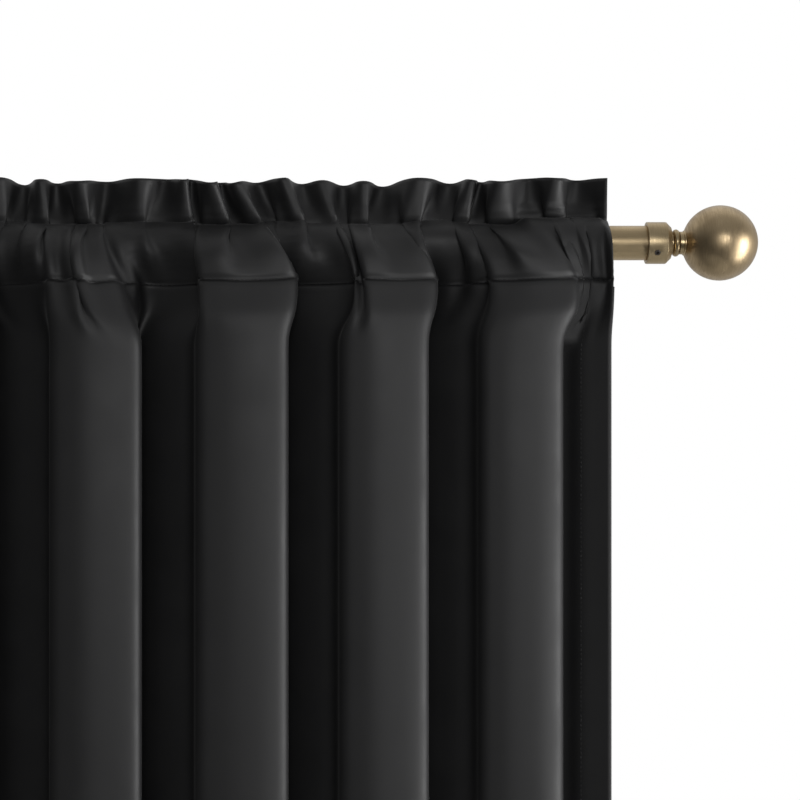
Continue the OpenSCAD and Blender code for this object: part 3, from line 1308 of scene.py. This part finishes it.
@dataclass
class ClothSolver:
    """Lets a gathered panel settle round the rod: threads keep their length, the cloth resists
    bending, and the pocket's two layers share their stitch lines.

    Args:
        plan: The panel's plan.
        gravity: Pull of the weight, in metres per second squared.
        across: Stiffness against bending along a row, at spans of 1 and 2 points.
        down: Stiffness against bending down the cloth, at spans of 1 and 2 points.
        damping: Share of its speed that a point keeps each step.
        fastest: The most that a point moves in a step.
        step: Length of a step, in seconds.
        held: How strongly heading, pocket and drop keep to the plan.
        seam_held: How strongly the lower stitch line does.
        cradle_x: Distance of the cradle's middle from the panel's outer edge.
        cradle_half: Half the width over which the cloth passes round the cradle.
        cradle_room: How much further than the rod the cradle reaches.
        cradle_low: How far below the rod the side edge stays in front of the cradle.
    """

    plan: PanelPlan
    gravity: float = 0.5
    across: tuple[float, ...] = (0.32, 0.01)
    down: tuple[float, ...] = (0.12, 0.10)
    damping: float = 0.985
    fastest: float = 0.002
    step: float = 0.002
    held: tuple[float, float, float] = (0.012, 0.008, 0.2)
    seam_held: float = 0.04
    cradle_x: float = 0.015
    cradle_half: float = 0.018
    cradle_room: float = 0.0045
    cradle_low: float = -0.075

    @staticmethod
    def pull(a: Lines, b: Lines, rest: object, share: float) -> None:
        """Moves pairs of points towards their thread's length.

        Args:
            a: The first points, changed in place.
            b: The second points, changed in place.
            rest: The length of the threads between them.
            share: How much of the error is mended.
        """
        gap = b - a
        length = np.sqrt((gap * gap).sum(-1)) + 1e-9
        move = (0.5 * share * (length - rest) / length)[..., None] * gap
        a += move
        b -= move

    def stretch(self, grid: Lines, wide: float, tall: Lines) -> None:
        """Brings all threads of a layer back to their length.

        Args:
            grid: The layer's points, changed in place.
            wide: Distance between columns.
            tall: Distances between rows.
        """
        slanted = np.sqrt(tall**2 + wide**2)
        for o in (0, 1):
            n = (grid.shape[1] - o) // 2
            self.pull(grid[:, o:o + 2 * n:2], grid[:, o + 1:o + 2 * n:2][:, :n], wide, 1.0)
        for o in (0, 1):
            n = (grid.shape[0] - o) // 2
            self.pull(grid[o:o + 2 * n:2], grid[o + 1:o + 2 * n:2][:n], tall[o::2][:n, None], 1.0)
        for o in (0, 1):
            n = (grid.shape[0] - o) // 2
            top, low = grid[o:o + 2 * n:2], grid[o + 1:o + 2 * n:2][:n]
            rest = slanted[o::2][:n, None]
            self.pull(top[:, :-1], low[:, 1:], rest, 0.25)
            self.pull(top[:, 1:], low[:, :-1], rest, 0.25)

    @staticmethod
    def flatten(grid: Lines, span: int, share: float) -> None:
        """Straightens a layer down its rows a little.

        Args:
            grid: The layer's points, changed in place.
            span: How many rows apart the three points are.
            share: How much of the bend is taken out.
        """
        a, m, b = grid[:-2 * span], grid[span:-span], grid[2 * span:]
        move = (0.5 * share) * (0.5 * (a + b) - m)
        m += move
        a -= 0.5 * move
        b -= 0.5 * move

    def bend(self, grid: Lines, first: int, last: int) -> None:
        """Lets a layer resist bending, more so where it is sewn double.

        Args:
            grid: The layer's points, changed in place.
            first: The first row of the stiffer part.
            last: The row after its last.
        """
        sideways = grid.swapaxes(0, 1)
        for span, share in zip((1, 2), self.across):
            self.flatten(sideways, span, share)
        for span, share in zip((1, 2), self.down):
            self.flatten(grid, span, share)
        for span in (2, 4):
            self.flatten(grid[first:last], span, 0.2)

    def keep_off(self, grid: Lines, radii: Lines, way: float) -> Lines:
        """Pushes points out of the rod and of the cradle that holds it.

        Args:
            grid: The layer's points, changed in place.
            radii: How far from the axis each column stays.
            way: The side of the rod on which the layer hangs: -1 the room's, 1 the wall's.

        Returns:
            Which points were pushed.
        """
        cross = grid[..., 1:]
        away = np.sqrt((cross * cross).sum(-1)) + 1e-9
        inside = away < radii
        cross *= np.where(inside, radii / away, 1.0)[..., None]
        height = np.abs(cross[..., 1])
        astray = (height < 0.75 * radii) & (cross[..., 0] * way < 0.66 * radii)
        side = way * np.sqrt(np.maximum(radii ** 2 - height ** 2, 0.0))
        cross[..., 0] = np.where(astray, side, cross[..., 0])
        return inside | astray

    def settle(self, front: Lines, back: Lines, steps: int) -> tuple[Lines, Lines]:
        """Runs the cloth until it rests.

        Args:
            front: The front layer as planned.
            back: The pocket's back layer as planned.
            steps: How many steps to run.

        Returns:
            Both layers at rest.
        """
        plan = self.plan
        rows, upper, lower = plan.heights()
        wide, tall = plan.width / (plan.columns - 1), np.diff(rows)
        front, back = front.copy(), back.copy()
        planned, foot = front.copy(), front[-3:].copy()
        seams = front[upper, :, 0].copy(), front[lower, :, 0].copy()
        below = rows - rows[lower]
        heading, pocket, drop = self.held
        hold = np.where(below > 0, pocket + drop * np.clip(below / 0.06, 0, 1) ** 1.6, pocket)
        hold[:upper + 1] = heading
        hold[lower] = self.seam_held
        hold = hold[:, None, None]
        aside = np.abs(planned[lower, :, 0] - self.cradle_x)
        edge = np.clip(1 - aside / self.cradle_half, 0, 1)
        radii = plan.rod_radius + 0.001 + self.cradle_room * np.minimum(1.0, 2 * edge)
        speed_f, speed_b = np.zeros_like(front), np.zeros_like(back)
        fall = self.gravity * self.step**2
        for _ in range(steps):
            old_f, old_b = front.copy(), back.copy()
            front += self.damping * speed_f
            back += self.damping * speed_b
            front[upper:, :, 2] -= fall
            back[..., 2] -= fall
            self.bend(front, upper, lower + 10)
            self.bend(back, 0, len(back))
            for span, share in ((1, 0.3), (2, 0.3), (4, 0.2)):
                self.flatten(front[:upper + 4], span, share)
            for layer, spans in ((front, tall), (back, tall[upper:lower])):
                self.stretch(layer, wide, spans)
                self.stretch(layer, wide, spans)
            front += hold * (planned - front)
            for a, b in ((front[upper], back[0]), (front[lower], back[-1])):
                a[...] = 0.5 * (a + b)
            front[upper, :, 0] += 0.1 * (seams[0] - front[upper, :, 0])
            front[lower, :, 0] += 0.05 * (seams[1] - front[lower, :, 0])
            for layer, old, way in ((front, old_f, -1.0), (back, old_b, 1.0)):
                held = self.keep_off(layer, radii, way)
                drag = old[..., 0] + 0.3 * (layer[..., 0] - old[..., 0])
                layer[..., 0] = np.where(held, drag, layer[..., 0])
            level = front[..., 2]
            near = (level < 0) & (level > self.cradle_low) & (edge > 0.2)
            ahead = np.where(near, -radii, np.inf)
            front[..., 1] = np.minimum(front[..., 1], ahead)
            back[0], back[-1] = front[upper], front[lower]
            front[-3:] = foot
            front[:, :3, 0] += 0.3 * (planned[:, :3, 0] - front[:, :3, 0])
            speed_f = np.clip(front - old_f, -self.fastest, self.fastest)
            speed_b = np.clip(back - old_b, -self.fastest, self.fastest)
        return front, back


@dataclass
class Panel:
    """One curtain panel: heading and pocket, drop, hems and stitches.

    Args:
        side: The side of the window that it hangs on.
        seed: Where its random numbers start.
        steps: How many steps the cloth settles for.
        outer_x: Distance of its outer edge from the middle of the window.
        cloth: Thickness of the cloth.
        side_hem: Number of the cloth's columns that a side hem is wide.
        bottom_hem: Height of the bottom hem.
        stitch: Distance between stitches.
        back_start: Distance of the pocket's back from the outer edge, which leaves the bracket free.
        plan: The folds and the heading that it starts from.
    """

    side: Side
    seed: int
    steps: int = 200
    outer_x: float = 0.672
    cloth: float = 0.8 * MM
    side_hem: int = 9
    bottom_hem: float = 0.075
    stitch: float = 3.4 * MM
    back_start: float = 0.031
    plan: PanelPlan = field(default_factory=PanelPlan)

    def placed(self, points: Lines) -> Lines:
        """Points of the panel's own frame in the part's frame.

        Args:
            points: The points to place.

        Returns:
            The placed points.
        """
        out = points.copy()
        out[..., 0] = self.side.value * (self.outer_x - points[..., 0])
        out[..., 1] += ROD_Y
        out[..., 2] += ROD_Z
        return out

    @staticmethod
    def wallward(grid: Lines) -> Lines:
        """Unit normals of a layer, on its wall side.

        Args:
            grid: The layer's points.

        Returns:
            The normals.
        """
        right, down = np.gradient(grid, axis=1), np.gradient(grid, axis=0)
        normal = np.cross(right, down)
        return normal / (np.linalg.norm(normal, axis=-1, keepdims=True) + 1e-12)

    def sheet(self, name: str, layers: Sequence[tuple[Lines, Lines, Lines]],
              thickness: float) -> bpy.types.Object:
        """A piece of cloth with real thickness, from one or more layers that may share rows.

        Args:
            name: The piece's name without its side.
            layers: Each layer's points, and its distances across and down the flat cloth.
            thickness: The cloth's thickness.

        Returns:
            The new piece, with its weave laid along the cloth.
        """
        points, faces, flats, first = [], [], [], 0
        for grid, across, down in layers:
            tall, wide = grid.shape[:2]
            index = first + np.arange(tall * wide).reshape(tall, wide)
            corners = [index[:-1, :-1], index[1:, :-1], index[1:, 1:], index[:-1, 1:]]
            faces.append(np.stack(corners, -1).reshape(-1, 4))
            points.append(self.placed(grid).reshape(-1, 3))
            flats.append(np.stack(np.meshgrid(across, down), -1).reshape(-1, 2))
            first += tall * wide
        mesh = bpy.data.meshes.new(name)
        corner = np.vstack(faces)
        mesh.from_pydata(np.vstack(points).tolist(), [], corner.tolist())
        uv = mesh.uv_layers.new(name="cloth")
        uv.data.foreach_set("uv", np.vstack(flats)[corner.ravel()].astype(np.float32).ravel())
        piece = bpy.data.objects.new(f"{self.side.word}_{name}", mesh)
        bpy.context.scene.collection.objects.link(piece)
        pick(piece)
        bpy.ops.object.mode_set(mode="EDIT")
        bpy.ops.mesh.select_all(action="SELECT")
        bpy.ops.mesh.remove_doubles(threshold=1e-6)
        bpy.ops.object.mode_set(mode="OBJECT")
        bpy.ops.object.shade_smooth()
        add_modifier(piece, "SOLIDIFY", thickness=thickness, offset=0.0)
        return piece

    def stitches(self, lines: Sequence[tuple[Lines, Lines]]) -> bpy.types.Object:
        """All the panel's stitches, each a short bead of thread pressed into the cloth.

        Args:
            lines: Points of each stitch line and the normals on which its thread lies.

        Returns:
            The new piece.
        """
        points, faces = [], []
        ring = np.radians([45, 135, 225, 315])
        shape = ((-0.5, 0.3), (-0.36, 0.85), (0.0, 1.0), (0.36, 0.85), (0.5, 0.3))
        thick = 0.28 * MM
        for line, normals in lines:
            run = np.linalg.norm(np.diff(line, axis=0), axis=1).sum()
            count = int(run / self.stitch)
            both = along(np.hstack([line, normals * 0.001]), 2 * count + 1)
            ends, up = both[:, :3], both[:, 3:]
            up = up / (np.linalg.norm(up, axis=1, keepdims=True) + 1e-12)
            for k in range(count):
                start, end, n = ends[2 * k], ends[2 * k + 1] * 1.5 - ends[2 * k] * 0.5, up[2 * k]
                way = end - start
                length = np.linalg.norm(way)
                if length < 0.3 * self.stitch:
                    continue
                side = np.cross(way / length, n)
                first = len(points) * 4
                for t, r in shape:
                    middle = start + way * (t + 0.5) + n * thick * (r - 1.0)
                    points.append([middle + thick * r * (math.cos(a) * side + math.sin(a) * n)
                                   for a in ring])
                for level in range(len(shape) - 1):
                    base = first + 4 * level
                    faces += [(base + i, base + (i + 1) % 4, base + 4 + (i + 1) % 4, base + 4 + i)
                              for i in range(4)]
                last = first + 4 * (len(shape) - 1)
                faces += [(first + 3, first + 2, first + 1, first),
                          (last, last + 1, last + 2, last + 3)]
        mesh = bpy.data.meshes.new("stitches")
        mesh.from_pydata(self.placed(np.array(points).reshape(-1, 3)).tolist(), [], faces)
        uv = mesh.uv_layers.new(name="cloth")
        flat = np.array([mesh.vertices[i].co[:] for i in np.array(faces).ravel()])[:, [0, 2]]
        uv.data.foreach_set("uv", flat.astype(np.float32).ravel())
        piece = bpy.data.objects.new(f"{self.side.word}_panel_stitches", mesh)
        bpy.context.scene.collection.objects.link(piece)
        outward(piece)
        bpy.ops.object.shade_smooth()
        return piece

    @staticmethod
    def relax(grid: Lines) -> Lines:
        """Irons out the finest wrinkles of a layer, its borders kept.

        Args:
            grid: The layer's points.

        Returns:
            The smoother points.
        """
        out = grid.copy()
        out[:, 1:-1] = 0.25 * (out[:, :-2] + 2 * out[:, 1:-1] + out[:, 2:])
        return out

    def hang(self, rng: np.random.Generator, front: Lines, rows: Lines) -> tuple[Lines, Lines]:
        """Carries the folds from the settled part down to the hem, where they sway a little.

        Args:
            rng: The random numbers to draw from.
            front: The settled front layer.
            rows: Distances of its rows down the cloth.

        Returns:
            The whole front layer, and its rows' distances.
        """
        total = self.plan.heading + self.plan.pocket + self.plan.drop
        deeper = np.linspace(rows[-1], total - self.bottom_hem, 22)[1:]
        deeper = np.concatenate([deeper, np.linspace(deeper[-1], total, 5)[1:]])
        sway = 0.004 * ripple(rng, self.plan.columns, 15)
        open_up = 0.10 * ripple(rng, self.plan.columns, 9)
        last = front[-1]
        inside = np.clip(np.minimum(last[:, 0], self.plan.hung - last[:, 0]) / 0.03, 0, 1)
        middle = last[:, 1].mean()
        added = []
        for down in deeper:
            share = eased((down - rows[-1]) / (total - rows[-1]))
            row = last.copy()
            row[:, 0] += sway * share * inside
            row[:, 1] = middle + (last[:, 1] - middle) * (1 + open_up * share)
            row[:, 2] = last[:, 2] - (down - rows[-1])
            added.append(row)
        return np.concatenate([front, np.stack(added)]), np.concatenate([rows, deeper])

    def build(self) -> None:
        """Makes the panel and hangs it on the rod."""
        plan, side = self.plan, self.side.word
        rng = np.random.default_rng(self.seed)
        front, back = plan.start(rng)
        rows, upper, lower = plan.heights()
        front, back = ClothSolver(plan).settle(front, back, self.steps)
        front, back = self.relax(front), self.relax(back)
        back[0], back[-1] = front[upper], front[lower]
        front, rows = self.hang(rng, front, rows)
        across = np.linspace(0, plan.width, plan.columns)
        normals = self.wallward(front)
        inner = int(np.argmax(back[len(back) // 2, :, 0] > self.back_start))
        pocket_rows = rows[upper:lower + 1] + plan.pocket
        heading = self.sheet("panel_heading", [
            (front[:lower + 1], across, rows[:lower + 1]),
            (back[:, inner:], across[inner:], pocket_rows),
        ], 1.2 * self.cloth)
        drop = self.sheet("panel_drop", [(front[lower:], across, rows[lower:])], self.cloth)
        h, gap = self.side_hem + 1, 1.1 * self.cloth
        hem_row = int(np.argmax(rows >= rows[-1] - self.bottom_hem - 1e-6))
        behind = front + gap * normals
        bottom = behind[hem_row:, h:-h] + 0.0002 * normals[hem_row:, h:-h]
        hems = self.sheet("panel_hems", [
            (behind[lower + 2:, :h], across[:h], rows[lower + 2:]),
            (behind[lower + 2:, -h:], across[-h:], rows[lower + 2:]),
            (bottom, across[h:-h], rows[hem_row:]),
        ], 0.9 * self.cloth)
        lift = 0.5 * self.cloth
        seams = [((upper, slice(None)), 1.25 * lift), ((lower, slice(None)), 1.25 * lift),
                 ((hem_row, slice(None)), lift), ((slice(lower, None), self.side_hem - 1), lift),
                 ((slice(lower, None), -self.side_hem), lift)]
        thread = self.stitches([(front[at] - up * normals[at], -normals[at]) for at, up in seams])
        body, joint = "rod", f"{side}_panel_draw"
        folds = [f"{side}_fold_{k}" for k in range(1, len(plan.folds) + 1)]
        dress(heading, BLACKOUT, body, folds)
        dress(drop, BLACKOUT, body, folds)
        dress(hems, BLACKOUT, body)
        dress(thread, THREAD, body)
        for piece in (heading, drop, hems, thread):
            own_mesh(piece)


# ---- Studio ----


@dataclass
class Studio:
    """A pale floor, soft lamps, a white backdrop and the camera.

    Args:
        lens: Focal length of the lens, in millimetres.
        eye: Where the camera stands.
        floor_z: Height of the floor.
    """

    lens: float = 67.4
    eye: tuple[float, float, float] = (0.517, -1.197, -0.0971)
    floor_z: float = -1.58

    def camera(self) -> None:
        """Sets the camera up, level and square to the window."""
        data = bpy.data.cameras.new("view")
        data.lens = self.lens
        data.sensor_width = 36.0
        data.clip_end = 50.0
        camera = bpy.data.objects.new("view", data)
        bpy.context.scene.collection.objects.link(camera)
        camera.location = self.eye
        camera.rotation_euler = (math.pi / 2, 0, 0)
        bpy.context.scene.camera = camera

    def lamp(self, name: str, place: Sequence[float], target: Sequence[float],
             size: tuple[float, float], power: float, spread: float = 180.0) -> None:
        """A soft rectangular lamp.

        Args:
            name: The lamp's name.
            place: Where it stands.
            target: The point that it faces.
            size: Its width and height.
            power: Its power in watts.
            spread: How wide its light fans out, in degrees.
        """
        data = bpy.data.lights.new(name, "AREA")
        data.shape = "RECTANGLE"
        data.size, data.size_y = size
        data.spread = math.radians(spread)
        data.energy = power
        lamp = bpy.data.objects.new(name, data)
        bpy.context.scene.collection.objects.link(lamp)
        lamp.location = place
        lamp.rotation_euler = (Vector(target) - Vector(place)).to_track_quat("-Z", "Y").to_euler()
        lamp.visible_camera = False

    def backdrop(self) -> None:
        """A white backdrop that lights the rims of the metal, with a dim room in front of it."""
        world = bpy.data.worlds.new("backdrop")
        bpy.context.scene.world = world
        world.use_nodes = True
        world.node_tree.nodes.clear()
        n = Nodes(world.node_tree)
        way = n.add("SeparateXYZ", {0: n.add("TexCoord").outputs["Generated"]})
        room = n.spread(way.outputs[1], -0.15, 0.35, 0.075, 0.50)
        ceiling = n.spread(way.outputs[2], 0.2, 0.85, 0.0, 0.30)
        strength = n.maths("ADD", room, ceiling)
        lit = n.add("Background", {0: (1, 1, 1, 1), 1: strength}).outputs[0]
        seen = n.add("Background", {0: (1, 1, 1, 1), 1: 1.0}).outputs[0]
        camera_ray = n.add("LightPath").outputs["Is Camera Ray"]
        mixed = n.add("MixShader", {0: camera_ray, 1: lit, 2: seen}).outputs[0]
        n.add("OutputWorld", {0: mixed})

    def floor(self) -> None:
        """A round pale floor under the curtains."""
        deselect()
        bpy.ops.mesh.primitive_circle_add(vertices=96, radius=1.5, fill_type="NGON",
                                          location=(0, -0.2, self.floor_z))
        piece = bpy.context.object
        piece.name = "studio_floor"
        settle(piece)
        paint = bpy.data.materials.new("pale_floor")
        paint.use_nodes = True
        n = Nodes(paint.node_tree)
        shader = paint.node_tree.nodes["Principled BSDF"]
        place = n.add("TexCoord").outputs["Object"]
        cloud = n.add("TexNoise", {"Vector": place, "Scale": 3.0}).outputs[0]
        colour = n.blend(cloud, (0.60, 0.60, 0.59, 1), (0.66, 0.66, 0.65, 1))
        paint.node_tree.links.new(colour, shader.inputs["Base Color"])
        shader.inputs["Roughness"].default_value = 0.8
        piece.data.materials.append(paint)

    def build(self) -> None:
        """Makes the whole studio."""
        self.camera()
        self.backdrop()
        self.floor()
        self.lamp("key", (2.0, -0.66, -0.55), (0.4, -0.09, -0.45), (0.7, 1.5), 11.5, 110)
        self.lamp("front", (0.9, -3.0, 0.3), (0.5, -0.09, -0.1), (1.2, 0.6), 2.3, 60)
        bpy.context.scene.view_settings.view_transform = "Standard"


def main() -> None:
    """Makes the studio, the hardware and the curtains."""
    logging.basicConfig(level=logging.INFO, format="%(message)s")
    Studio().build()
    Rod().build()
    for side in Side:
        Finial(side).build()
    for place in Place:
        Bracket(place).build()
    Panel(Side.RIGHT, seed=7).build()
    Panel(Side.LEFT, seed=29).build()


if __name__ == "__main__":
    main()
